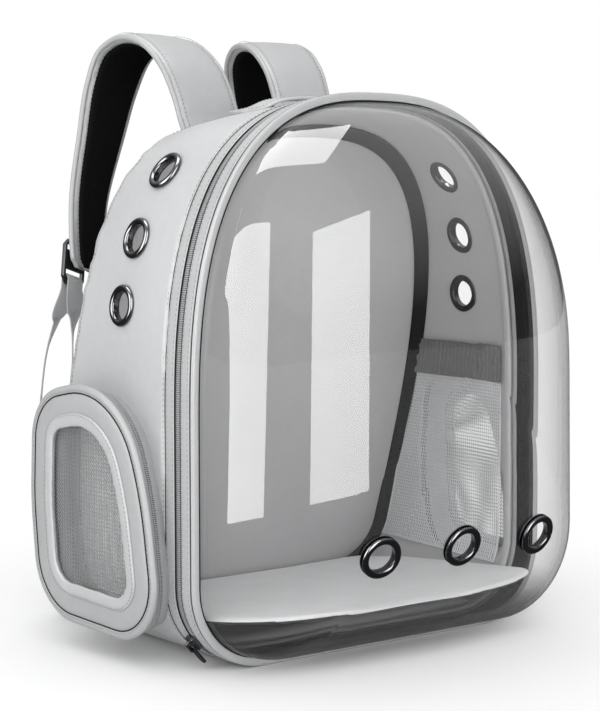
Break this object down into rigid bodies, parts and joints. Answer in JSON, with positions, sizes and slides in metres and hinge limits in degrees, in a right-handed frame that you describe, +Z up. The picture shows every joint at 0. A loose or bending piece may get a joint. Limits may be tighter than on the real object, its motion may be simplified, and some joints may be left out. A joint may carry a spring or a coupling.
{
  "type": "bubble pet carrier backpack",
  "caption": "Hard-sided pet carrier backpack with a clear bubble door, light grey leatherette walls, side pockets with net windows, padded shoulder straps and air eyelets.",
  "frame": {"origin": "centre of the flat underside, at floor level", "axes": "+Z up; -Y is where the clear bubble faces; +Y is the wearer's back; +X is right as seen from the front"},
  "size_m": [0.4026, 0.3957, 0.4708],
  "materials": {
    "leatherette": "smooth light grey leatherette",
    "light_trim": "near white leatherette edging",
    "panel_cloth": "mid grey woven lining",
    "dark_binding": "near black woven tape",
    "zip_tape": "grey nylon coil on tape",
    "gunmetal": "dark polished metal",
    "net": "open knitted net",
    "mat_cloth": "short grey pile",
    "lining_cloth": "black air mesh",
    "black_plastic": "black moulded plastic",
    "webbing_cloth": "grey woven webbing",
    "clear_plastic": "clear thermoformed plastic"
  },
  "bodies": {
    "carrier": {"side_wall": "leatherette", "back_panel": "panel_cloth", "base_panel": "panel_cloth", "bubble_strip": "light_trim", "door_band": "leatherette", "main_zip": "zip_tape", "zip_border": "leatherette", "bubble_binding": "dark_binding", "front_binding": "dark_binding", "back_binding": "dark_binding", "bubble": "clear_plastic", "side_eyelet_left_1": "gunmetal", "side_eyelet_left_2": "gunmetal", "side_eyelet_left_3": "gunmetal", "side_eyelet_right_1": "gunmetal", "side_eyelet_right_2": "gunmetal", "side_eyelet_right_3": "gunmetal", "bubble_eyelet_left": "gunmetal", "bubble_eyelet_middle": "gunmetal", "bubble_eyelet_right": "gunmetal", "floor_mat": "mat_cloth", "carry_handle": "leatherette", "side_net_left": "net", "pocket_wall_left": "leatherette", "pocket_zip_left": "zip_tape", "pocket_face_left": "leatherette", "pocket_trim_left": "light_trim", "pocket_net_left": "net", "strap_pad_left": "leatherette", "strap_lining_left": "lining_cloth", "strap_buckle_left": "black_plastic", "webbing_left": "webbing_cloth", "webbing_anchor_left": "leatherette", "pocket_zip_left_slider": "gunmetal", "side_net_right": "net", "pocket_wall_right": "leatherette", "pocket_zip_right": "zip_tape", "pocket_face_right": "leatherette", "pocket_trim_right": "light_trim", "pocket_net_right": "net", "strap_pad_right": "leatherette", "strap_lining_right": "lining_cloth", "strap_buckle_right": "black_plastic", "webbing_right": "webbing_cloth", "webbing_anchor_right": "leatherette", "pocket_zip_right_slider": "gunmetal", "main_zip_slider": "gunmetal"},
    "main_pull_body": {"main_zip_pull": "gunmetal"},
    "left_pull_body": {"pocket_zip_left_pull": "gunmetal"},
    "right_pull_body": {"pocket_zip_right_pull": "gunmetal"}
  },
  "joints": [
    {"name": "main_pull_swing", "type": "hinge", "parent": "carrier", "child": "main_pull_body", "pos_m": [-0.15536, -0.098, 0.01848], "axis": [0, 1, 0], "range_deg": [0, 150]},
    {"name": "left_pull_swing", "type": "hinge", "parent": "carrier", "child": "left_pull_body", "pos_m": [-0.18511, 0.05782, 0.1352], "axis": [0.9697, -0.244, -0.0122], "range_deg": [0, 150]},
    {"name": "right_pull_swing", "type": "hinge", "parent": "carrier", "child": "right_pull_body", "pos_m": [0.18511, 0.05782, 0.1352], "axis": [0.9697, 0.244, 0.0122], "range_deg": [0, 150]}
  ]
}
